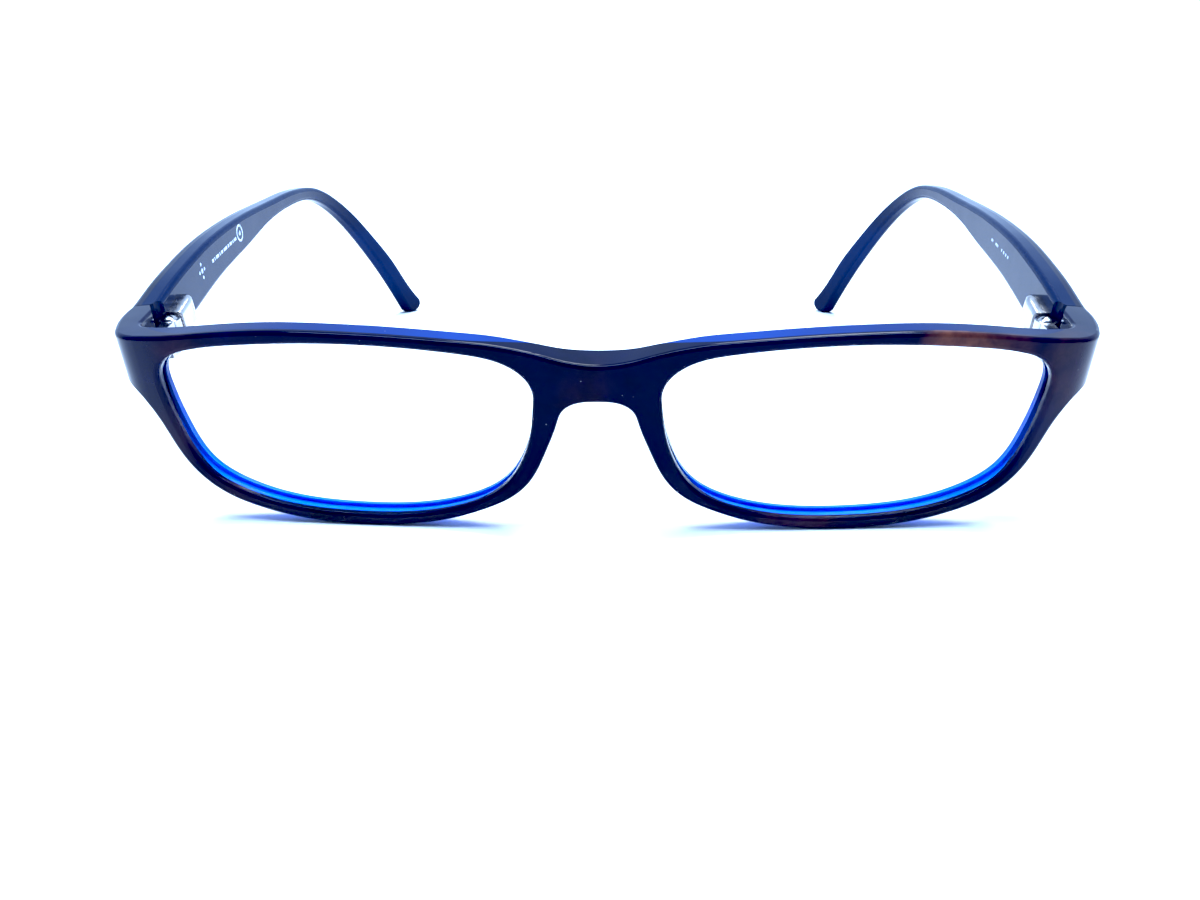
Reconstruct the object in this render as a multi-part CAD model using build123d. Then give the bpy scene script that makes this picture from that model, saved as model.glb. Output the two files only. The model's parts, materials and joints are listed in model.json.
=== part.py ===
from build123d import *
import math
import os

# Eyeglasses with a laminated acetate front and spring-hinged temples.
#
# Everything is modelled in the sheet frame of the front: +X to the wearer's left, +Y back
# towards the ears, +Z up the front's sheet.  The finished pieces are then leaned forward by
# SHEET_LEAN and moved, so that they stand as glasses stand on a table, on both rims and both
# temple tips, with the origin on the table under the middle of the whole object.  Only the left
# side (+X) is modelled, and the right side is its mirror image.  Lengths are millimetres.

# Stance
SHEET_LEAN = 8.0

# Front, in plan: (x, y) of one half
RIM_RADIUS = 240.0
RIM_NASAL_END = (8.6, 0.30)
RIM_TEMPORAL_END = (59.5, 3.10)
RIM_MIDDLE_X = 35.0
SHEET_THICKNESS = 3.7
BRIDGE_FRONT = (0.0, 0.5)
BRIDGE_REAR = (0.0, 6.0)
BRIDGE_REAR_X = 12.0
ELBOW_FRONT_X = 62.6
ELBOW_REAR_X = 61.6
ELBOW_OUTER = (66.45, 6.6)
ELBOW_INNER = (63.9, 9.6)
END_PIECE_CORNER = (64.2, 13.1)
SEAM_OUTER = (68.1, 15.0)
SEAM_INNER = (65.6, 15.5)
SIDE_X = 65.0
FRONT_EDGE_RADIUS = 0.6
REAR_EDGE_RADIUS = 0.4

# Front, in elevation: (x, z) of one half, from the middle outwards
TOP_EDGE = [
    (0.0, 25.55), (2.4, 25.75), (4.8, 26.25), (7.5, 27.1), (10.2, 27.85), (13.5, 28.55),
    (18.5, 29.15), (27.0, 29.85), (36.0, 30.2), (43.0, 30.15), (48.5, 29.75), (53.5, 29.15),
    (58.0, 28.55), (62.5, 28.2), (69.5, 28.15),
]
BOTTOM_EDGE = [
    (0.0, 20.1), (3.1, 19.75), (4.7, 18.7), (5.6, 16.5), (6.8, 13.3), (8.2, 10.0), (9.9, 7.2),
    (12.3, 5.0), (15.8, 3.2), (20.2, 1.65), (27.0, 0.4), (35.0, 0.05), (43.0, 0.55),
    (49.7, 1.95), (55.1, 4.3), (58.8, 7.95), (60.8, 12.1), (61.95, 15.4), (63.0, 17.7),
    (64.3, 19.55), (66.2, 20.6), (69.5, 20.9),
]
LENS_OPENING = [
    (8.65, 20.2), (9.5, 23.4), (12.4, 25.75), (18.0, 27.25), (26.0, 28.15), (34.5, 28.5),
    (43.0, 28.2), (51.0, 27.4), (57.0, 25.95), (59.6, 24.1), (60.2, 20.8), (59.2, 14.4),
    (56.7, 8.2), (51.4, 4.6), (44.0, 2.6), (35.0, 1.97), (26.0, 2.3), (19.0, 3.8),
    (13.7, 6.6), (10.9, 10.4), (9.2, 15.5),
]
OPENING_STEPS = 42

# Laminate of the front: the dark layer is thin over the rims and runs out to the full depth of
# the sheet at the bridge and at the end pieces
DARK_LAYER = 1.0
LAMINATE_NASAL = (7.0, 4.5)
LAMINATE_NASAL_FULL_X = 18.0
LAMINATE_TEMPORAL_FULL_X = 54.0
LAMINATE_TEMPORAL = (62.4, 7.4)
BEHIND_FRONT_Y = 9.0

# Lenses: spherical meniscus with a bevelled edge that sits in the rim's groove
LENS_MIDDLE_Z = 15.2
LENS_FRONT_DEPTH = 0.9
LENS_THICKNESS = 2.0
BEVEL_HEIGHT = 0.6
BEVEL_WIDTH = 1.1
LENS_CLEARANCE = 0.04

# Nose pads, bonded to the back of the nasal rims
PAD_CENTRE = (8.7, 11.9)
PAD_SIZE = (2.2, 10.0)
PAD_SLOPE = 22.0
PAD_ROOT_DEPTH = 2.0
PAD_REACH = 3.0
PAD_SPLAY = 0.4
PAD_SECTIONS = [(0.0, 1.0), (0.6, 0.95), (0.88, 0.78), (1.0, 0.5)]

# Hinge, on an axis that runs up the sheet.  The temple's hinge parts lie along its own line,
# which toes outwards.
HINGE_AXIS = (63.5, 16.0)
TEMPLE_TOE = 5.6
BARREL_RADIUS = 1.5
PIN_RADIUS = 0.70
PIN_HOLE_RADIUS = 0.75
LOWER_KNUCKLE = (21.0, 22.4)
UPPER_KNUCKLE = (24.3, 25.7)
EYE = (22.45, 24.25)
HINGE_MIDDLE_Z = 23.35
SCREW_TIP_Z = 21.3
SCREW_HEAD_RADIUS = 1.1
SCREW_HEAD_HEIGHT = 0.55
SCREW_HEAD_GAP = 0.02
SCREW_SLOT = (0.3, 0.3)
SCREW_SLOT_TURN = 20.0
HINGE_PLATE_X = (62.9, 64.35)
HINGE_PLATE_Y = (9.9, 13.6)
HINGE_ANCHOR_X = (64.35, 65.6)
HINGE_ANCHOR_Y = (10.4, 12.6)
HINGE_WEB_X = (62.4, 64.1)
HINGE_WEB_Y = 12.4

# Spring housing and what it holds: distances back from the hinge axis along the rod, which
# rises towards the rear as the temple does
ROD_RISE = 6.0
HOUSING_FRONT = 2.0
HOUSING_FULL = 5.8
HOUSING_REAR = 9.9
HOUSING_INNER = 1.3
HOUSING_OUTER = 1.6
HOUSING_TOP = 2.6
HOUSING_BOTTOM = -1.6
HOUSING_TOP_ARC = [(7.0, 2.6), (9.1, 1.85), (9.9, 0.5)]
HOUSING_BOTTOM_ARC = [(9.9, 0.5), (8.5, -1.0), (5.8, -1.6)]
HOUSING_EDGE_RADIUS = 0.7
BORE_RADIUS = 0.95
BORE_END = 7.2
BUSH = (2.3, 3.1)
BUSH_HOLE_RADIUS = 0.62
ROD_RADIUS = 0.55
ROD_END = 6.9
NECK_WIDTH = 1.2
NECK_HEIGHT = 1.5
NECK_END = 1.9
NUT = (6.0, 6.7)
NUT_RADIUS = 0.8
SPRING = (3.22, 5.88)
SPRING_MEAN_RADIUS = 0.76
SPRING_WIRE_RADIUS = 0.11
SPRING_TURNS = 5

# Temples: (x, y, thickness) along the middle plane, and (y, z) of the edges
TEMPLE_DARK_FROM = 0.24
TEMPLE_EDGE_RADIUS = 0.8
TEMPLE_FACE_OFFSET = 0.93
SEAM_GAP = 0.15
TEMPLE_INNER_CORNER = (64.55, 17.3)
BARREL_RELIEF_RADIUS = 1.85
TEMPLE_LINE = [
    (66.1, 13.0, 3.9), (68.0, 32.4, 3.85), (69.15, 49.6, 3.65), (69.8, 64.6, 3.45),
    (70.0, 79.5, 3.3), (69.8, 92.3, 3.1), (69.0, 102.1, 2.95), (66.6, 111.4, 2.9),
    (62.2, 119.6, 2.9), (56.4, 127.9, 2.9), (52.5, 133.0, 2.9),
]
TEMPLE_TOP = [
    (13.0, 28.0), (16.0, 28.15), (22.0, 28.75), (30.0, 29.3), (40.0, 29.65), (48.0, 29.5),
    (56.0, 29.05), (66.0, 28.15), (76.0, 27.1), (86.0, 26.1), (94.0, 24.8), (99.9, 23.25),
    (105.0, 20.85), (109.6, 17.5), (114.0, 12.9), (118.95, 5.6), (123.25, -2.15), (126.7, -10.1),
]
TEMPLE_BOTTOM = [
    (13.0, 20.5), (16.0, 20.75), (22.0, 21.15), (29.2, 21.6), (38.5, 22.35), (46.0, 22.75),
    (56.0, 22.95), (62.0, 23.2), (69.0, 23.65), (77.0, 23.7), (86.0, 23.1), (92.5, 22.25),
    (98.5, 20.65), (103.4, 18.3), (107.5, 15.25), (111.4, 11.1), (116.1, 3.95), (120.0, -3.6),
    (123.4, -11.5),
]
TIP_Y = 127.2
TIP_RADIUS = 2.1
TIP_SLOPE = 66.0

# Core wire of a temple, in the middle of its light layer
WIRE_RADIUS = 0.6
WIRE_OFFSET = -0.6
WIRE_HEIGHTS = [
    (34.5, 25.7), (50.0, 26.2), (64.0, 25.9), (77.0, 25.4), (88.0, 24.4), (96.0, 22.9),
    (102.5, 20.4), (108.3, 16.6), (112.8, 11.8), (117.5, 4.9), (121.6, -2.9),
]


def across(shape):
    """The same piece on the right side of the glasses."""
    return mirror(shape, about=Plane.YZ)


def circle_centre(start, end, radius):
    """Centre of the circle through two points that bulges towards -Y."""
    dx = end[0] - start[0]
    dy = end[1] - start[1]
    chord = math.hypot(dx, dy)
    rise = math.sqrt(radius**2 - chord**2 / 4)
    return ((start[0] + end[0]) / 2 - dy / chord * rise, (start[1] + end[1]) / 2 + dx / chord * rise)


RIM_CENTRE = circle_centre(RIM_NASAL_END, RIM_TEMPORAL_END, RIM_RADIUS)


def rim_point(x, depth):
    """Point in plan at a depth behind the rim's front face."""
    return (x, RIM_CENTRE[1] - math.sqrt((RIM_RADIUS - depth) ** 2 - (x - RIM_CENTRE[0]) ** 2))


def rim_direction(x, depth):
    """Direction in plan of the rim's curve, towards the temple."""
    sine = (x - RIM_CENTRE[0]) / (RIM_RADIUS - depth)
    return (math.sqrt(1 - sine**2), sine)


def prism(face, low, high):
    """A plan face drawn out from one height to another."""
    return extrude(Pos(0, 0, low) * face, high - low)


def through_sheet(face):
    """An elevation face drawn out through the whole depth of the front."""
    return extrude(Plane.XZ.offset(4) * face, -30)


def disc(centre, radius, low, high):
    return prism(Pos(*centre) * Circle(radius), low, high)


def closed(*lines):
    """Face inside a closed run of lines."""
    return make_face(Wire([edge for line in lines for edge in line.edges()]))


# --- front -------------------------------------------------------------------------------------


def front_plan():
    """The bent sheet in plan, from one seam round the front to the other."""
    elbow_front = rim_point(ELBOW_FRONT_X, 0)
    elbow_rear = rim_point(ELBOW_REAR_X, SHEET_THICKNESS)
    bridge_rear = rim_point(BRIDGE_REAR_X, SHEET_THICKNESS)
    corner = TangentArc(elbow_front, ELBOW_OUTER, tangent=rim_direction(ELBOW_FRONT_X, 0))
    side = [
        ThreePointArc(RIM_NASAL_END, rim_point(RIM_MIDDLE_X, 0), elbow_front),
        corner,
        TangentArc(ELBOW_OUTER, SEAM_OUTER, tangent=corner % 1),
        Polyline(SEAM_OUTER, SEAM_INNER, END_PIECE_CORNER, ELBOW_INNER),
        TangentArc(elbow_rear, ELBOW_INNER, tangent=rim_direction(ELBOW_REAR_X, SHEET_THICKNESS)),
        ThreePointArc(elbow_rear, rim_point(RIM_MIDDLE_X, SHEET_THICKNESS), bridge_rear),
    ]
    nasal = rim_direction(RIM_NASAL_END[0], 0)
    rear = rim_direction(BRIDGE_REAR_X, SHEET_THICKNESS)
    front_line = Spline(
        (-RIM_NASAL_END[0], RIM_NASAL_END[1]), BRIDGE_FRONT, RIM_NASAL_END,
        tangents=[(nasal[0], -nasal[1]), nasal],
    )
    rear_line = Spline(
        (-bridge_rear[0], bridge_rear[1]), BRIDGE_REAR, bridge_rear,
        tangents=[(rear[0], -rear[1]), rear],
    )
    return closed(*side, *[across(line) for line in side], front_line, rear_line)


def both_halves(points):
    """An outline of one half, from the middle outwards, made into one across both halves."""
    return [(-x, z) for x, z in reversed(points[1:])] + points


def front_elevation():
    top = both_halves(TOP_EDGE)
    bottom = both_halves(BOTTOM_EDGE)
    return closed(
        Spline(*top), Spline(*bottom), Line(top[0], bottom[0]), Line(top[-1], bottom[-1])
    )


def opening_face(grown=0.0):
    outline = Spline(*LENS_OPENING, periodic=True)
    points = []
    for step in range(OPENING_STEPS):
        along = outline % (step / OPENING_STEPS)
        points.append(outline @ (step / OPENING_STEPS) + Vector(-along.Y, along.X) * grown)
    return make_face(Spline(*points, periodic=True))


def lens_shell(depth, thickness):
    """Spherical shell that follows the rim, front surface first."""
    centre = Pos(RIM_CENTRE[0], RIM_CENTRE[1], LENS_MIDDLE_Z)
    return centre * (Sphere(RIM_RADIUS - depth) - Sphere(RIM_RADIUS - depth - thickness))


def lens_groove():
    depth = LENS_FRONT_DEPTH + (LENS_THICKNESS - BEVEL_WIDTH) / 2 - LENS_CLEARANCE
    face = opening_face(BEVEL_HEIGHT + LENS_CLEARANCE)
    return through_sheet(face) & lens_shell(depth, BEVEL_WIDTH + 2 * LENS_CLEARANCE)


def lens():
    body = through_sheet(opening_face(-LENS_CLEARANCE)) & lens_shell(LENS_FRONT_DEPTH, LENS_THICKNESS)
    depth = LENS_FRONT_DEPTH + (LENS_THICKNESS - BEVEL_WIDTH) / 2
    bevel = through_sheet(opening_face(BEVEL_HEIGHT)) & lens_shell(depth, BEVEL_WIDTH)
    return body + bevel


def light_layer_plan():
    """Plan of the light layer of one rim, open behind."""
    nasal_full = rim_point(LAMINATE_NASAL_FULL_X, DARK_LAYER)
    temporal_full = rim_point(LAMINATE_TEMPORAL_FULL_X, DARK_LAYER)
    return closed(
        Spline(
            LAMINATE_NASAL, nasal_full,
            tangents=[(1, -0.4), rim_direction(LAMINATE_NASAL_FULL_X, DARK_LAYER)],
        ),
        ThreePointArc(nasal_full, rim_point(RIM_MIDDLE_X, DARK_LAYER), temporal_full),
        Spline(
            temporal_full, LAMINATE_TEMPORAL,
            tangents=[rim_direction(LAMINATE_TEMPORAL_FULL_X, DARK_LAYER), (1, 1)],
        ),
        Polyline(
            LAMINATE_TEMPORAL, (LAMINATE_TEMPORAL[0], BEHIND_FRONT_Y),
            (LAMINATE_NASAL[0], BEHIND_FRONT_Y), LAMINATE_NASAL,
        ),
    )


def rounded(shape, chosen, radius):
    """Round the curved outline edges of the faces that a test picks out."""
    edges = [
        edge
        for face in shape.faces()
        if chosen(face)
        for edge in face.edges().filter_by(GeomType.BSPLINE)
    ]
    return fillet(edges, radius)


def faces_forward(face):
    """True for the front faces of the sheet, round to the outer faces of the end pieces."""
    return face.normal_at().Y < -0.5 or abs(face.center().X) > SIDE_X and face.normal_at().Y < 0.3


def faces_back(face):
    """True for the rear faces of the rims and of the bridge."""
    return face.normal_at().Y > 0.9 and abs(face.center().X) < ELBOW_REAR_X


def whole_front():
    front = prism(front_plan(), -2, 32) & through_sheet(front_elevation())
    opening = through_sheet(opening_face())
    front = front - opening - across(opening)
    front = rounded(front, faces_forward, FRONT_EDGE_RADIUS)
    return rounded(front, faces_back, REAR_EDGE_RADIUS)


def nose_pad(front):
    """Bonded pad behind the nasal rim, rounded off and splayed towards its free end."""
    outline = Rot(0, 0, PAD_SLOPE) * Ellipse(PAD_SIZE[0] / 2, PAD_SIZE[1] / 2)
    root_y = rim_point(PAD_CENTRE[0], SHEET_THICKNESS)[1] - PAD_ROOT_DEPTH
    sections = [
        Plane.XZ.offset(-root_y - share * (PAD_ROOT_DEPTH + PAD_REACH))
        * Pos(PAD_CENTRE[0] + share * PAD_SPLAY, PAD_CENTRE[1])
        * scale(outline, width)
        for share, width in PAD_SECTIONS
    ]
    return loft(sections) - front


# --- hinge -------------------------------------------------------------------------------------


def along_temple(shape):
    """Place a piece drawn round the hinge axis, with +Y back along the temple."""
    return Pos(*HINGE_AXIS, 0) * Rot(0, 0, -TEMPLE_TOE) * shape


def along_rod(shape):
    """Place a piece drawn with the rod along +Y from the middle of the hinge."""
    return along_temple(Pos(0, 0, HINGE_MIDDLE_Z) * Rot(ROD_RISE, 0, 0) * shape)


def bar(radius, start, end):
    """Round bar along the rod."""
    return Pos(0, start, 0) * Rot(-90, 0, 0) * extrude(Circle(radius), end - start)


def block(x_range, y_range, z_range):
    size = [high - low for low, high in (x_range, y_range, z_range)]
    middle = [(high + low) / 2 for low, high in (x_range, y_range, z_range)]
    return Pos(*middle) * Box(*size)


def front_hinge():
    """Plate set into the end piece, with the two knuckles that the temple's eye sits between."""
    hinge = block(HINGE_PLATE_X, HINGE_PLATE_Y, (LOWER_KNUCKLE[0], UPPER_KNUCKLE[0]))
    hinge += block(HINGE_ANCHOR_X, HINGE_ANCHOR_Y, (LOWER_KNUCKLE[1], EYE[1]))
    for low, high in (LOWER_KNUCKLE, UPPER_KNUCKLE):
        hinge += disc(HINGE_AXIS, BARREL_RADIUS, low, high)
        hinge += block(HINGE_WEB_X, (HINGE_WEB_Y, HINGE_AXIS[1]), (low, high))
    for low, high in (LOWER_KNUCKLE, UPPER_KNUCKLE):
        hinge -= disc(HINGE_AXIS, PIN_HOLE_RADIUS, low - 1, high + 1)
    return hinge


def hinge_screw():
    """Shank and domed, slotted head."""
    seat = UPPER_KNUCKLE[1] + SCREW_HEAD_GAP
    shank = disc(HINGE_AXIS, PIN_RADIUS, SCREW_TIP_Z, seat)
    dome_radius = (SCREW_HEAD_RADIUS**2 + SCREW_HEAD_HEIGHT**2) / (2 * SCREW_HEAD_HEIGHT)
    dome = Pos(*HINGE_AXIS, seat + SCREW_HEAD_HEIGHT - dome_radius) * Sphere(dome_radius)
    head = disc(HINGE_AXIS, SCREW_HEAD_RADIUS, seat, seat + SCREW_HEAD_HEIGHT) & dome
    width, depth = SCREW_SLOT
    top = seat + SCREW_HEAD_HEIGHT
    slot = Pos(*HINGE_AXIS, top) * Rot(0, 0, SCREW_SLOT_TURN) * Box(4, width, 2 * depth)
    return shank + head - slot


def hinge_slider():
    """Eye on the hinge screw, and the rod that runs back through the housing."""
    eye = disc((0, 0), BARREL_RADIUS, *EYE)
    hole = disc((0, 0), PIN_HOLE_RADIUS, EYE[0] - 1, EYE[1] + 1)
    neck = Pos(0, NECK_END / 2, HINGE_MIDDLE_Z) * Box(NECK_WIDTH, NECK_END, NECK_HEIGHT)
    return along_temple(eye + neck - hole) + along_rod(bar(ROD_RADIUS, BARREL_RADIUS, ROD_END))


def housing_bush():
    return along_rod(bar(BORE_RADIUS, *BUSH) - bar(BUSH_HOLE_RADIUS, *BUSH))


def slider_nut():
    return along_rod(bar(NUT_RADIUS, *NUT) - bar(ROD_RADIUS, *NUT))


def hinge_spring():
    start, end = SPRING
    pitch = (end - start - 2 * SPRING_WIRE_RADIUS) / SPRING_TURNS
    path = Helix(pitch, pitch * SPRING_TURNS, SPRING_MEAN_RADIUS)
    section = Plane(origin=path @ 0, z_dir=path % 0) * Circle(SPRING_WIRE_RADIUS)
    coil = sweep(section, path=path)
    return along_rod(Pos(0, start + SPRING_WIRE_RADIUS, 0) * Rot(-90, 0, 0) * coil)


def housing_solid():
    """Housing without its bore, rounded to a nose at the rear."""
    top = HOUSING_TOP_ARC[0]
    bottom = HOUSING_BOTTOM_ARC[-1]
    side = closed(
        Polyline(top, (HOUSING_FRONT, HOUSING_TOP), (HOUSING_FRONT, HOUSING_BOTTOM), bottom),
        ThreePointArc(*HOUSING_TOP_ARC),
        ThreePointArc(*HOUSING_BOTTOM_ARC),
    )
    inner_end = (-HOUSING_INNER, HOUSING_FULL)
    face_end = (TEMPLE_FACE_OFFSET, HOUSING_REAR)
    plan = closed(
        Polyline(
            inner_end, (-HOUSING_INNER, HOUSING_FRONT), (HOUSING_OUTER, HOUSING_FRONT),
            (HOUSING_OUTER, HOUSING_REAR), face_end,
        ),
        TangentArc(inner_end, face_end, tangent=(0, 1)),
    )
    solid = extrude(Plane.YZ * side, 2 * HOUSING_OUTER, both=True)
    solid = solid & prism(plan, HOUSING_BOTTOM - 1, HOUSING_TOP + 1)
    inner = solid.faces().sort_by(Axis.X)[0]
    long_edges = inner.edges().filter_by(Axis.Y)
    return along_rod(fillet(long_edges, HOUSING_EDGE_RADIUS))


def spring_housing():
    return housing_solid() - along_rod(bar(BORE_RADIUS, HOUSING_FRONT - 1, BORE_END))


# --- temple ------------------------------------------------------------------------------------


def temple_middle():
    return Spline(*[(x, y) for x, y, thickness in TEMPLE_LINE])


def at_depth_back(line, y):
    """Place along a plan line, from 0 to 1, where it reaches a distance back."""
    low = 0.0
    high = 1.0
    while high - low > 1e-6:
        middle = (low + high) / 2
        if (line @ middle).Y < y:
            low = middle
        else:
            high = middle
    return low


def temple_plan(inner, outer):
    """Plan of a layer between two shares of the half thickness, -1 inside and 1 outside."""
    line = temple_middle()
    sides = []
    for share in (inner, outer):
        points = []
        for x, y, thickness in TEMPLE_LINE:
            along = line % at_depth_back(line, y)
            distance = share * thickness / 2
            points.append((x + along.Y * distance, y - along.X * distance))
        sides.append(points)
    return closed(
        Spline(*sides[0]), Spline(*sides[1]),
        Line(sides[0][0], sides[1][0]), Line(sides[0][-1], sides[1][-1]),
    )


def temple_side(tip_z):
    """Side outline of the temple, closed by the round tip."""
    slope = math.radians(TIP_SLOPE)
    reach_y = TIP_RADIUS * math.sin(slope)
    reach_z = TIP_RADIUS * math.cos(slope)
    tip_top = (TIP_Y + reach_y, tip_z + reach_z)
    tip_bottom = (TIP_Y - reach_y, tip_z - reach_z)
    tip_end = (TIP_Y + reach_z, tip_z - reach_y)
    top = TEMPLE_TOP + [tip_top]
    bottom = TEMPLE_BOTTOM + [tip_bottom]
    return closed(
        Spline(*top), Spline(*bottom), Line(top[0], bottom[0]),
        ThreePointArc(tip_top, tip_end, tip_bottom),
    )


def seam_cut():
    """Everything in front of the temple's butt face, its relief and the hinge barrel."""
    run = (SEAM_OUTER[0] - SEAM_INNER[0], SEAM_OUTER[1] - SEAM_INNER[1])
    length = math.hypot(*run)
    back = (-run[1] / length * SEAM_GAP, run[0] / length * SEAM_GAP)
    inner = (SEAM_INNER[0] + back[0], SEAM_INNER[1] + back[1])
    reach = 3.0
    outer = (inner[0] + run[0] * reach, inner[1] + run[1] * reach)
    face = closed(
        Polyline(
            (outer[0], 5), (60, 5), (60, TEMPLE_INNER_CORNER[1]), TEMPLE_INNER_CORNER, inner,
            outer, (outer[0], 5),
        )
    )
    relief = disc(HINGE_AXIS, BARREL_RELIEF_RADIUS, LOWER_KNUCKLE[0] - 0.4, 32)
    return prism(face, 10, 35) + relief


def whole_temple(tip_z):
    body = prism(temple_plan(-1, 1), -25, 35)
    temple = body & extrude(Plane.YZ * temple_side(tip_z), 80)
    ends = temple.faces().sort_by(Axis.Y)[:2]
    end_edges = [edge for face in ends for edge in face.edges()]
    across_tip = temple.edges().filter_by(GeomType.LINE)
    outline = [edge for edge in temple.edges() if edge not in end_edges and edge not in across_tip]
    return fillet(outline, TEMPLE_EDGE_RADIUS) - seam_cut()


def core_wire():
    """Stiffening wire through the light layer: straight runs joined by easy bends."""
    line = temple_middle()
    points = []
    for y, z in WIRE_HEIGHTS:
        step = at_depth_back(line, y)
        along = line % step
        points.append(Vector((line @ step).X + along.Y * WIRE_OFFSET, y - along.X * WIRE_OFFSET, z))
    radii = []
    for before, here, after in zip(points, points[1:], points[2:]):
        turn = math.radians((here - before).get_angle(after - here))
        shorter = min((here - before).length, (after - here).length)
        radii.append(0.45 * shorter / math.tan(turn / 2))
    path = FilletPolyline(*points, radius=radii)
    section = Plane(origin=path @ 0, z_dir=path % 0) * Circle(WIRE_RADIUS)
    return sweep(section, path=path)


# --- assembly ----------------------------------------------------------------------------------

front = whole_front()
hinge = front_hinge()
light = prism(light_layer_plan(), -2, 32) & front
dark = front - light - across(light)
groove = lens_groove()
light = light - groove - hinge
for cut in (groove, hinge):
    dark = dark - cut - across(cut)

leaned_front = Rot(SHEET_LEAN, 0, 0) * front
lean = math.radians(SHEET_LEAN)
floor_z = leaned_front.bounding_box().min.Z
tip_z = (floor_z + TIP_RADIUS - TIP_Y * math.sin(lean)) / math.cos(lean)

temple = whole_temple(tip_z)
wire = core_wire()
dark_temple = prism(temple_plan(TEMPLE_DARK_FROM, 2), -25, 35)
light_temple = temple - dark_temple - housing_solid() - wire

left = {
    "front_inner_layer": light,
    "lens": lens(),
    "nose_pad": nose_pad(front),
    "front_hinge": hinge,
    "hinge_screw": hinge_screw(),
    "hinge_slider": hinge_slider(),
    "slider_nut": slider_nut(),
    "hinge_spring": hinge_spring(),
    "housing_bush": housing_bush(),
    "spring_housing": spring_housing(),
    "temple_outer_layer": temple & dark_temple,
    "temple_inner_layer": light_temple,
    "temple_core_wire": wire,
}
parts = {"front_outer_layer": dark}
for name, shape in left.items():
    parts[name + "_left"] = shape
    parts[name + "_right"] = across(shape)

box = Compound([Rot(SHEET_LEAN, 0, 0) * shape for shape in parts.values()]).bounding_box()
stance = Pos(0, -(box.min.Y + box.max.Y) / 2, -box.min.Z) * Rot(SHEET_LEAN, 0, 0)

os.makedirs("parts", exist_ok=True)
for name, shape in parts.items():
    export_step(stance * shape, f"parts/{name}.step")
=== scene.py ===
import json
import math

import bmesh
import bpy
from mathutils import Matrix, Vector
from mathutils.bvhtree import BVHTree


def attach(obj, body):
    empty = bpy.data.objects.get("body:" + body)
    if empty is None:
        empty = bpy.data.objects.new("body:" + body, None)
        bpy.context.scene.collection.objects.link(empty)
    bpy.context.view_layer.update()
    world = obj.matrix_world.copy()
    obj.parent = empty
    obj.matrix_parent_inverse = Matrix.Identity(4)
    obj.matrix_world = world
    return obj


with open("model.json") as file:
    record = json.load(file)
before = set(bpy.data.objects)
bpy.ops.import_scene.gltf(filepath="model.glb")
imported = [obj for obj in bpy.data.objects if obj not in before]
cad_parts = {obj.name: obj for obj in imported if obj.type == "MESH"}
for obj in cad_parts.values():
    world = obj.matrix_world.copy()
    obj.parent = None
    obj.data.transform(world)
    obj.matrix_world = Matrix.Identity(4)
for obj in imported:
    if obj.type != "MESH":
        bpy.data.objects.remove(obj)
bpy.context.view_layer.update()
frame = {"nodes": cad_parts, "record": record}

MM = 0.001


# --- node helpers ------------------------------------------------------------------------------


def fill_ramp(ramp, stops):
    """Sets a colour ramp to (position, colour) stops."""
    while len(ramp.elements) < len(stops):
        ramp.elements.new(0.5)
    for element, (position, colour) in zip(ramp.elements, stops):
        element.position = position
        element.color = (*colour, 1.0)


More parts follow.
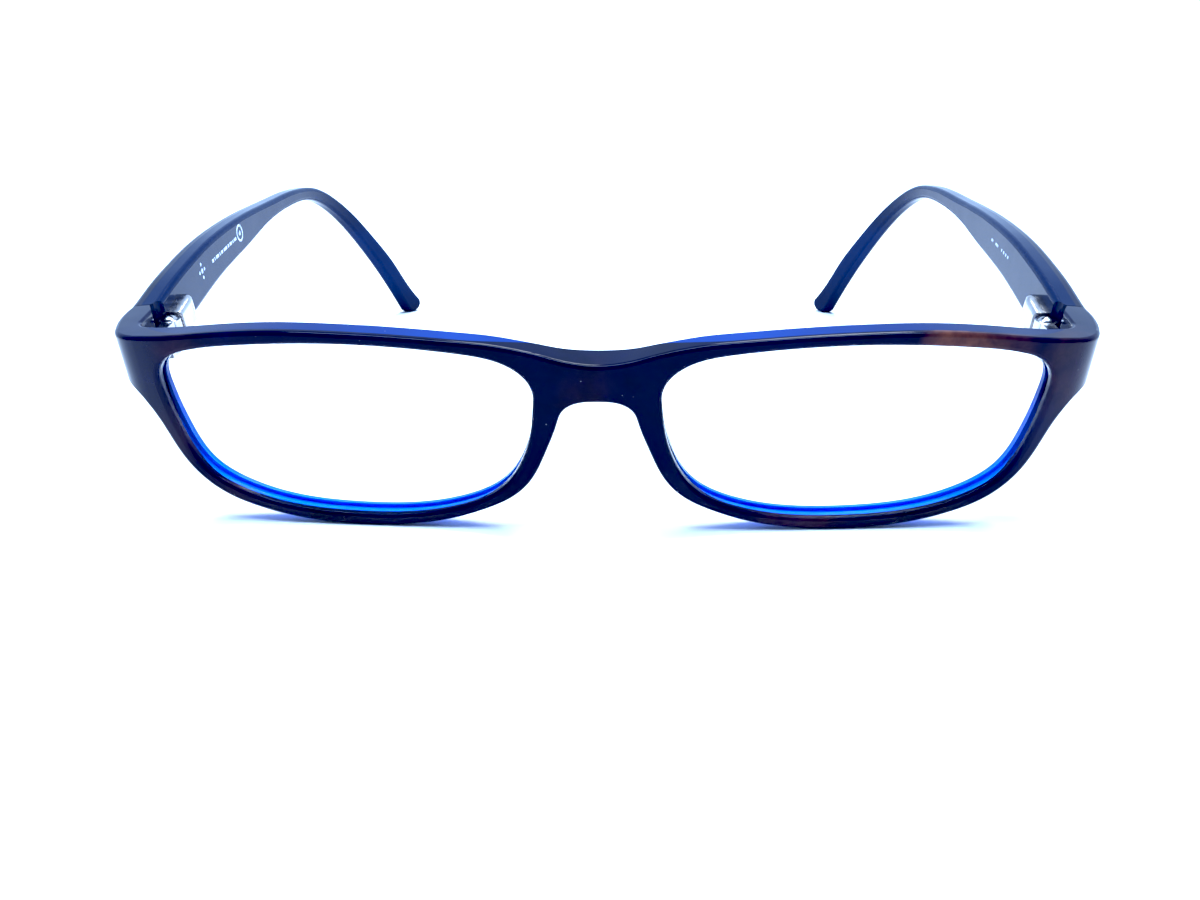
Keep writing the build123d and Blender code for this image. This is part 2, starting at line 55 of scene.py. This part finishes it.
class Graph:
    """A material's node tree, built up call by call."""

    def __init__(self, name):
        self.material = bpy.data.materials.new(name)
        self.material.use_nodes = True
        self.nodes = self.material.node_tree.nodes
        self.links = self.material.node_tree.links
        self.nodes.clear()
        self.output = self.nodes.new("ShaderNodeOutputMaterial")
        self.place = self.nodes.new("ShaderNodeTexCoord").outputs["Object"]

    def node(self, kind, settings=None, **inputs):
        made = self.nodes.new(kind)
        for key, value in (settings or {}).items():
            setattr(made, key, value)
        for key, value in inputs.items():
            self.feed(made.inputs[key.replace("_", " ")], value)
        return made

    def feed(self, socket, value):
        if isinstance(value, bpy.types.NodeSocket):
            self.links.new(value, socket)
        else:
            socket.default_value = value

    def noise(self, scale, detail=3.0, roughness=0.5, distortion=0.0, vector=None):
        made = self.node(
            "ShaderNodeTexNoise", Scale=scale, Detail=detail, Roughness=roughness,
            Distortion=distortion, Vector=vector or self.place,
        )
        return made.outputs["Fac"]

    def shifted(self, offset, stretch=(1.0, 1.0, 1.0)):
        return self.node(
            "ShaderNodeMapping", Vector=self.place, Location=offset, Scale=stretch
        ).outputs["Vector"]

    def outwards(self):
        """Distance from the middle of the glasses, to either side."""
        across = self.node("ShaderNodeSeparateXYZ", Vector=self.place).outputs["X"]
        return self.maths("ABSOLUTE", across)

    def ramp(self, value, stops):
        made = self.node("ShaderNodeValToRGB", Fac=value)
        made.color_ramp.interpolation = "EASE"
        fill_ramp(made.color_ramp, stops)
        return made.outputs["Color"]

    def spread(self, value, low, high, out_low=0.0, out_high=1.0):
        made = self.node(
            "ShaderNodeMapRange", Value=value, From_Min=low, From_Max=high,
            To_Min=out_low, To_Max=out_high,
        )
        return made.outputs["Result"]

    def maths(self, kind, a, b=0.0):
        made = self.nodes.new("ShaderNodeMath")
        made.operation = kind
        self.feed(made.inputs[0], a)
        self.feed(made.inputs[1], b)
        return made.outputs[0]

    def mix(self, share, a, b, blend="MIX"):
        made = self.nodes.new("ShaderNodeMix")
        made.data_type = "RGBA"
        made.blend_type = blend
        self.feed(made.inputs[0], share)
        self.feed(made.inputs[6], a if isinstance(a, bpy.types.NodeSocket) else (*a, 1.0))
        self.feed(made.inputs[7], b if isinstance(b, bpy.types.NodeSocket) else (*b, 1.0))
        return made.outputs[2]

    def bump(self, height, strength, distance, normal=None):
        made = self.node(
            "ShaderNodeBump", Strength=strength, Distance=distance, Height=height
        )
        if normal is not None:
            self.links.new(normal, made.inputs["Normal"])
        return made.outputs["Normal"]

    def blob(self, centre, radius, warp):
        """1 at a point on the object, falling to 0 about a radius away, with a ragged outline."""
        offset = self.node("ShaderNodeVectorMath", {"operation": "DISTANCE"})
        self.links.new(self.place, offset.inputs[0])
        offset.inputs[1].default_value = centre
        away = self.maths("ADD", offset.outputs["Value"], self.maths("MULTIPLY", warp, radius))
        return self.spread(away, radius * 1.5, radius * 0.55)

    def shader(self, **inputs):
        shader = self.node("ShaderNodeBsdfPrincipled", **inputs)
        self.links.new(shader.outputs[0], self.output.inputs["Surface"])
        return shader


DUST_COLOUR = (0.55, 0.58, 0.66)
SPECK_RADIUS = (0.045, 0.075)


def dust(graph, colour, share):
    """Sparse pale specks of dust over a colour."""
    cells = graph.node(
        "ShaderNodeTexVoronoi", Vector=graph.place, Scale=620.0, Randomness=1.0
    )
    speck = graph.spread(cells.outputs["Distance"], *SPECK_RADIUS, 1.0, 0.0)
    where = graph.spread(graph.noise(170.0, 2.0), 0.60, 0.66)
    return graph.mix(
        graph.maths("MULTIPLY", graph.maths("MULTIPLY", speck, where), share),
        colour, DUST_COLOUR,
    )


# --- materials ---------------------------------------------------------------------------------


def polish(graph, low, high):
    """Roughness of polished acetate, with faint smears."""
    smear = graph.noise(90.0, 4.0, 0.6, 0.6, graph.shifted((0.3, 0.1, 0.0), (1.0, 1.0, 2.4)))
    fine = graph.noise(1500.0, 2.0)
    rough = graph.spread(smear, 0.35, 0.7, low, high)
    return graph.maths("ADD", rough, graph.spread(fine, 0.3, 0.8, 0.0, 0.04))


WAVE_HEIGHT = 0.0004
SCRATCH_HEIGHT = 0.00002


def tumbled(graph, strength):
    """Normal of hand-polished acetate: slow waves, and the finest of scratches."""
    wave = graph.noise(140.0, 2.0, 0.4)
    scratch = graph.noise(900.0, 5.0, 0.7, 0.0, graph.shifted((0.0, 0.0, 0.0), (0.15, 1.0, 2.0)))
    low = graph.bump(wave, strength, WAVE_HEIGHT)
    return graph.bump(scratch, strength * 0.5, SCRATCH_HEIGHT, low)


# Centre, radius and share of amber of each cloud.
HAVANA_CLOUDS = [
    ((0.0462, -0.0650, 0.0290), 0.0047, 0.85),
    ((0.0520, -0.0640, 0.0280), 0.0040, 0.35),
    ((0.0620, -0.0610, 0.0235), 0.0050, 0.16),
    ((-0.0560, -0.0625, 0.0262), 0.0032, 0.16),
    ((-0.0600, -0.0610, 0.0130), 0.0038, 0.10),
    ((-0.0010, -0.0660, 0.0215), 0.0036, 0.05),
    ((0.0290, -0.0640, 0.0010), 0.0042, 0.16),
    ((-0.0540, -0.0640, 0.0070), 0.0036, 0.10),
]
HAVANA_GROUND = [
    (0.30, (0.0003, 0.0006, 0.0060)), (0.55, (0.0004, 0.0011, 0.0150)),
    (0.78, (0.0008, 0.0022, 0.0260)),
]
HAVANA_AMBER = [(0.30, (0.0500, 0.0140, 0.0120)), (0.70, (0.1300, 0.0480, 0.0280))]
END_PIECE_X = (0.058, 0.068)
END_PIECE_GLOSS = (0.09, 0.30)


def havana():
    """Dark mottled acetate: navy-black ground, amber-brown clouds, glossier end pieces."""
    graph = Graph("havana_acetate")
    warp = graph.spread(graph.noise(150.0, 4.0, 0.6, 0.8), 0.3, 0.7, -0.6, 0.6)
    cloud = graph.noise(46.0, 4.0, 0.55, 1.2, graph.shifted((0.31, 0.2, 0.07)))
    amount = graph.spread(cloud, 0.62, 0.80, 0.0, 0.05)
    for centre, radius, share in HAVANA_CLOUDS:
        one = graph.maths("MULTIPLY", graph.blob(centre, radius, warp), share)
        amount = graph.maths("MAXIMUM", amount, one)
    ground = graph.ramp(graph.noise(75.0, 5.0, 0.6, 0.7), HAVANA_GROUND)
    amber = graph.ramp(graph.noise(260.0, 4.0, 0.6), HAVANA_AMBER)
    graph.shader(
        Base_Color=dust(graph, graph.mix(amount, ground, amber), 0.35),
        Roughness=polish(graph, 0.06, 0.14), Normal=tumbled(graph, 0.12),
        Specular_IOR_Level=graph.spread(graph.outwards(), *END_PIECE_X, *END_PIECE_GLOSS),
    )
    return graph.material


AZURE_SHADE = [(0.30, (0.72, 0.78, 0.82)), (0.70, (1.0, 1.0, 1.0))]
AZURE_WANDER = 0.003
SHADOW_X = (0.020, 0.052)
SHADOW_Z = (0.023, 0.027)


def azure(name, deep, clear, low, high, shadow):
    """Blue acetate: clear colour below one height, deep above another, painted shadow up and out.
    """
    graph = Graph(name)
    height = graph.node("ShaderNodeSeparateXYZ", Vector=graph.place).outputs["Z"]
    cloud = graph.noise(65.0, 4.0, 0.5, 0.8)
    drift = graph.spread(cloud, 0.25, 0.75, -AZURE_WANDER, AZURE_WANDER)
    wander = graph.maths("ADD", height, drift)
    colour = graph.mix(graph.spread(wander, low, high), clear, deep)
    veined = graph.mix(1.0, colour, graph.ramp(cloud, AZURE_SHADE), "MULTIPLY")
    ends = graph.spread(graph.outwards(), *SHADOW_X)
    upper = graph.spread(height, *SHADOW_Z)
    shaded = graph.mix(graph.maths("MULTIPLY", ends, upper), veined, shadow)
    graph.shader(
        Base_Color=dust(graph, shaded, 0.25), Roughness=polish(graph, 0.08, 0.16),
        Specular_IOR_Level=0.10, Normal=tumbled(graph, 0.10),
    )
    return graph.material


WORN_SHARE = 0.72
METAL_SCRATCH_HEIGHT = 0.00003


def plated(name, tint, low, high):
    """Plated or drawn metal with fine wear."""
    graph = Graph(name)
    wear = graph.noise(420.0, 5.0, 0.65, 0.4)
    colour = graph.ramp(wear, [(0.30, tuple(c * WORN_SHARE for c in tint)), (0.62, tint)])
    lines = graph.shifted((0.0, 0.0, 0.0), (1.0, 0.12, 1.0))
    scratch = graph.noise(2600.0, 4.0, 0.7, 0.0, lines)
    graph.shader(
        Base_Color=colour, Metallic=1.0, Roughness=graph.spread(wear, 0.3, 0.7, low, high),
        Normal=graph.bump(scratch, 0.10, METAL_SCRATCH_HEIGHT),
    )
    return graph.material


def clear_lens():
    """Coated clear lens: no power, so light goes straight through it; the coat reflects."""
    graph = Graph("clear_lens")
    smear = graph.noise(60.0, 4.0, 0.6, 0.8)
    glass = graph.node(
        "ShaderNodeBsdfPrincipled", Base_Color=(0.985, 0.992, 1.0, 1.0), IOR=1.0,
        Transmission_Weight=1.0, Roughness=0.0, Coat_Weight=0.12, Coat_IOR=1.4,
        Coat_Roughness=graph.spread(smear, 0.5, 0.8, 0.0, 0.06),
    )
    clear = graph.node("ShaderNodeBsdfTransparent", Color=(0.985, 0.99, 1.0, 1.0))
    rays = graph.nodes.new("ShaderNodeLightPath")
    mixed = graph.nodes.new("ShaderNodeMixShader")
    graph.links.new(rays.outputs["Is Shadow Ray"], mixed.inputs[0])
    graph.links.new(glass.outputs[0], mixed.inputs[1])
    graph.links.new(clear.outputs[0], mixed.inputs[2])
    graph.links.new(mixed.outputs[0], graph.output.inputs["Surface"])
    return graph.material


HAVANA = havana()
# The rim's bright clear blue low down is painted light shining through the translucent acetate,
# over its own blue.
RIM_BLUE = azure(
    "rim_azure", deep=(0.0005, 0.026, 0.170), clear=(0.0006, 0.100, 0.640),
    low=0.009, high=0.021, shadow=(0.0005, 0.006, 0.040),
)
# The temples' blue is darker towards the bottom; its shadow colour is painted shadow up and out.
TEMPLE_BLUE = azure(
    "temple_azure", deep=(0.0005, 0.013, 0.060), clear=(0.0005, 0.006, 0.030),
    low=0.0, high=0.012, shadow=(0.0016, 0.009, 0.036),
)
LENS = clear_lens()
NICKEL = plated("nickel_plating", (0.48, 0.47, 0.47), 0.10, 0.26)
STEEL = plated("drawn_steel", (0.52, 0.52, 0.54), 0.25, 0.42)
BRASS = plated("turned_brass", (0.74, 0.56, 0.27), 0.20, 0.38)

FINISHES = {
    "acetate_dark": HAVANA, "acetate_blue": RIM_BLUE, "acetate_pad": RIM_BLUE, "lens_clear": LENS,
    "hinge_plated": NICKEL, "spring_steel": STEEL, "bush_brass": BRASS,
}
for row in frame["record"]["subparts"]:
    node = frame["nodes"][row["node"]]
    node.data.materials.clear()
    in_temple = row["node"].startswith("temple_inner_layer")
    node.data.materials.append(TEMPLE_BLUE if in_temple else FINISHES[row["material_slot"]])


# --- pad prints on the inner faces of the temples ----------------------------------------------

PRINT_LIFT = 0.00002
PRINT_LEAN = math.radians(8.0)
INK_COLOURS = [(0.30, (0.26, 0.34, 0.55)), (0.55, (0.62, 0.70, 0.88))]
INK_HEIGHT = 0.00003
DASHES = (0.0008, 0.0004, 0.0014, 0.0004, 0.0009, 0.0018, 0.0006, 0.0011, 0.0004, 0.0013)
DASH_START = 0.0050
DASH_GAP = 0.00042
DASH_HEIGHT = 0.00055
BIG_DOT = 0.00042
SMALL_DOT = 0.00030
DOT_STEP = 0.0011
RING_PLACE = (0.0200, 0.0002)
RING_RADII = (0.00115, 0.00155)
RING_DOT = 0.00045


def white_ink():
    """Pad-printing ink, worn thin in places."""
    graph = Graph("pad_print_ink")
    wear = graph.noise(900.0, 4.0, 0.7)
    graph.shader(
        Base_Color=graph.ramp(wear, INK_COLOURS),
        Roughness=graph.spread(wear, 0.3, 0.7, 0.45, 0.62), Specular_IOR_Level=0.3,
        Normal=graph.bump(wear, 0.2, INK_HEIGHT),
    )
    return graph.material


def quad(along, up, length, height):
    """Corners of an upright bar of ink, centred at a place along and up the temple."""
    return [
        (along - length / 2, up - height / 2), (along + length / 2, up - height / 2),
        (along + length / 2, up + height / 2), (along - length / 2, up + height / 2),
    ]


def ring(along, up, inner, outer, steps=28):
    """Quads that make a ring of ink."""
    made = []
    for step in range(steps):
        turns = [math.tau * (step + k) / steps for k in (0, 1)]
        made.append([
            (along + r * math.cos(t), up + r * math.sin(t))
            for r, t in ((inner, turns[0]), (outer, turns[0]), (outer, turns[1]), (inner, turns[1]))
        ])
    return made


def dot(along, up, radius, steps=12):
    """Corners of a round dot of ink."""
    turns = [math.tau * k / steps for k in range(steps)]
    return [(along + radius * math.cos(t), up + radius * math.sin(t)) for t in turns]


def care_marks():
    """A lozenge of dots, a broken line and a ringed dot, in metres along and up from the first."""
    marks = [
        dot(0.0, 0.0, BIG_DOT), dot(DOT_STEP, 0.0, SMALL_DOT), dot(-DOT_STEP, 0.0, SMALL_DOT),
        dot(0.0, DOT_STEP, SMALL_DOT), dot(0.0, -DOT_STEP, SMALL_DOT),
    ]
    along = DASH_START
    for length in DASHES:
        marks.append(quad(along + length / 2, -0.0001, length, DASH_HEIGHT))
        along += length + DASH_GAP
    marks += ring(*RING_PLACE, *RING_RADII)
    marks.append(dot(*RING_PLACE, RING_DOT))
    return marks


def worn_marks():
    """The other temple's print: a short row of dots and two dashes."""
    marks = [dot(0.0012 * k, 0.0, 0.00028) for k in range(4)]
    marks.append(quad(0.0065, 0.0, 0.0016, 0.0004))
    marks.append(quad(0.0092, 0.0, 0.0010, 0.0004))
    return marks


def pad_print(side, marks, start, body):
    """Lays flat marks on a temple's inner face, along the line that rises as the temple does."""
    face = frame["nodes"][f"temple_inner_layer_{side}"]
    tree = BVHTree.FromPolygons(
        [v.co.copy() for v in face.data.vertices], [tuple(f.vertices) for f in face.data.polygons]
    )
    outwards = Vector((1.0 if side == "left" else -1.0, 0.0, 0.0))
    mesh = bmesh.new()
    for mark in marks:
        corners = []
        for along, up in mark:
            y = start[0] + along * math.cos(PRINT_LEAN) - up * math.sin(PRINT_LEAN)
            z = start[1] + along * math.sin(PRINT_LEAN) + up * math.cos(PRINT_LEAN)
            place, _, _, _ = tree.ray_cast(Vector((0.0, y, z)), outwards)
            corners.append(mesh.verts.new(place - outwards * PRINT_LIFT))
        if side == "right":
            corners.reverse()
        mesh.faces.new(corners)
    data = bpy.data.meshes.new(f"pad_print_{side}")
    mesh.to_mesh(data)
    mesh.free()
    data.materials.append(INK)
    made = bpy.data.objects.new(f"pad_print_{side}", data)
    bpy.context.scene.collection.objects.link(made)
    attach(made, body)


INK = white_ink()
pad_print("right", care_marks(), (-0.0325, 0.0309), "temple_right")
pad_print("left", worn_marks(), (-0.0262, 0.0318), "temple_left")


# --- stage, light and camera -------------------------------------------------------------------


SKY_TINT = (0.46, 0.66, 1.0)
SUN_TINT = (0.80, 0.90, 1.0)
SUN_SPREAD = math.radians(24.0)
SUN_POWER = 3.6
STRIP_SIZE = (0.9, 0.25)
STRIP_POWER = 22.0
SKY_GAIN = 5.0
SKY_SHARE = (0.10, 1.0)
SKY_SHARE_Y = (-0.45, 0.35)
SKY_RISE = [(0.0, 0.50), (0.15, 0.55), (0.40, 0.42), (0.62, 0.34), (0.85, 0.40), (1.0, 0.5)]
BACKDROP_STRENGTH = 1.4
PAPER_REACH = 12.0
PAPER_COLOURS = [(0.3, (0.90, 0.91, 0.92)), (0.7, (0.93, 0.93, 0.93))]
PAPER_GRAIN = 0.0001
BLACK_LEVEL = (0.018, 0.019, 0.004)


def stage():
    """White paper under the glasses, reaching far past them."""
    mesh = bpy.data.meshes.new("stage_paper")
    corners = [
        (x * PAPER_REACH, y * PAPER_REACH, 0.0) for x, y in ((-1, -1), (1, -1), (1, 1), (-1, 1))
    ]
    mesh.from_pydata(corners, [], [(0, 1, 2, 3)])
    floor = bpy.data.objects.new("stage_paper", mesh)
    bpy.context.scene.collection.objects.link(floor)
    graph = Graph("stage_paper")
    graph.shader(
        Base_Color=graph.ramp(graph.noise(3.0, 3.0), PAPER_COLOURS),
        Roughness=0.7, Specular_IOR_Level=0.1,
        Normal=graph.bump(graph.noise(900.0, 3.0), 0.05, PAPER_GRAIN),
    )
    mesh.materials.append(graph.material)


def lamp(name, place, aim, size, power):
    """Rectangle of sky-coloured light at a place, aimed at a point."""
    data = bpy.data.lights.new(name, "AREA")
    data.shape = "RECTANGLE"
    data.size, data.size_y = size
    data.energy = power
    data.color = SKY_TINT
    made = bpy.data.objects.new(name, data)
    made.location = place
    made.rotation_euler = (Vector(aim) - Vector(place)).to_track_quat("-Z", "Y").to_euler()
    bpy.context.scene.collection.objects.link(made)


def sun(name, place, power):
    """Broad, even light that comes from a place towards the middle of the stage."""
    data = bpy.data.lights.new(name, "SUN")
    data.angle = SUN_SPREAD
    data.energy = power
    data.color = SUN_TINT
    made = bpy.data.objects.new(name, data)
    made.rotation_euler = (-Vector(place)).to_track_quat("-Z", "Y").to_euler()
    bpy.context.scene.collection.objects.link(made)


def lights():
    """Bluish light from behind and above, dim on the viewer's side; a pale backdrop is seen."""
    world = bpy.data.worlds.new("studio")
    bpy.context.scene.world = world
    world.use_nodes = True
    nodes = world.node_tree.nodes
    links = world.node_tree.links
    parts = nodes.new("ShaderNodeSeparateXYZ")
    links.new(nodes.new("ShaderNodeTexCoord").outputs["Generated"], parts.inputs[0])
    behind = nodes.new("ShaderNodeMapRange")
    behind.interpolation_type = "SMOOTHSTEP"
    links.new(parts.outputs["Y"], behind.inputs["Value"])
    behind.inputs["From Min"].default_value, behind.inputs["From Max"].default_value = SKY_SHARE_Y
    behind.inputs["To Min"].default_value, behind.inputs["To Max"].default_value = SKY_SHARE
    rise = nodes.new("ShaderNodeValToRGB")
    links.new(parts.outputs["Z"], rise.inputs["Fac"])
    fill_ramp(rise.color_ramp, [(position, (value,) * 3) for position, value in SKY_RISE])
    both = nodes.new("ShaderNodeMath")
    both.operation = "MULTIPLY"
    links.new(behind.outputs["Result"], both.inputs[0])
    links.new(rise.outputs["Color"], both.inputs[1])
    gain = nodes.new("ShaderNodeMath")
    gain.operation = "MULTIPLY"
    links.new(both.outputs[0], gain.inputs[0])
    gain.inputs[1].default_value = SKY_GAIN
    background = nodes["Background"]
    background.inputs["Color"].default_value = (*SKY_TINT, 1.0)
    links.new(gain.outputs[0], background.inputs["Strength"])
    backdrop = nodes.new("ShaderNodeBackground")
    backdrop.inputs["Color"].default_value = (*SUN_TINT, 1.0)
    backdrop.inputs["Strength"].default_value = BACKDROP_STRENGTH
    seen = nodes.new("ShaderNodeMixShader")
    links.new(nodes.new("ShaderNodeLightPath").outputs["Is Camera Ray"], seen.inputs[0])
    links.new(background.outputs[0], seen.inputs[1])
    links.new(backdrop.outputs[0], seen.inputs[2])
    links.new(seen.outputs[0], nodes["World Output"].inputs["Surface"])
    lamp("overhead_strip", (0.0, -0.12, 0.9), (0.0, 0.0, 0.0), STRIP_SIZE, STRIP_POWER)
    sun("window_light", (0.15, 0.55, 1.0), SUN_POWER)


CAMERA_PLACE = (4.57 * MM, -177.99 * MM, 60.33 * MM)
CAMERA_PITCH = 0.3965
CAMERA_YAW = -0.0376
CAMERA_ROLL = -0.0081
CAMERA_LENS = 26.94
CAMERA_SENSOR = 36.0
CAMERA_NEAREST = 0.005


def camera():
    """The photograph's camera, as fitted: pitched down, then yawed and rolled."""
    data = bpy.data.cameras.new("camera")
    data.lens = CAMERA_LENS
    data.sensor_width = CAMERA_SENSOR
    data.clip_start = CAMERA_NEAREST
    made = bpy.data.objects.new("camera", data)
    bpy.context.scene.collection.objects.link(made)
    ahead = Vector((
        math.sin(CAMERA_YAW) * math.cos(CAMERA_PITCH),
        math.cos(CAMERA_YAW) * math.cos(CAMERA_PITCH),
        -math.sin(CAMERA_PITCH),
    ))
    level = Vector((math.cos(CAMERA_YAW), -math.sin(CAMERA_YAW), 0.0))
    above = level.cross(ahead)
    right = level * math.cos(CAMERA_ROLL) + above * math.sin(CAMERA_ROLL)
    up = above * math.cos(CAMERA_ROLL) - level * math.sin(CAMERA_ROLL)
    turn = Matrix((right, up, -ahead)).transposed()
    made.matrix_world = Matrix.Translation(CAMERA_PLACE) @ turn.to_4x4()
    bpy.context.scene.camera = made


stage()
lights()
camera()
view = bpy.context.scene.view_settings
view.view_transform = "Standard"
view.use_curve_mapping = True
view.curve_mapping.black_level = BLACK_LEVEL
view.curve_mapping.update()
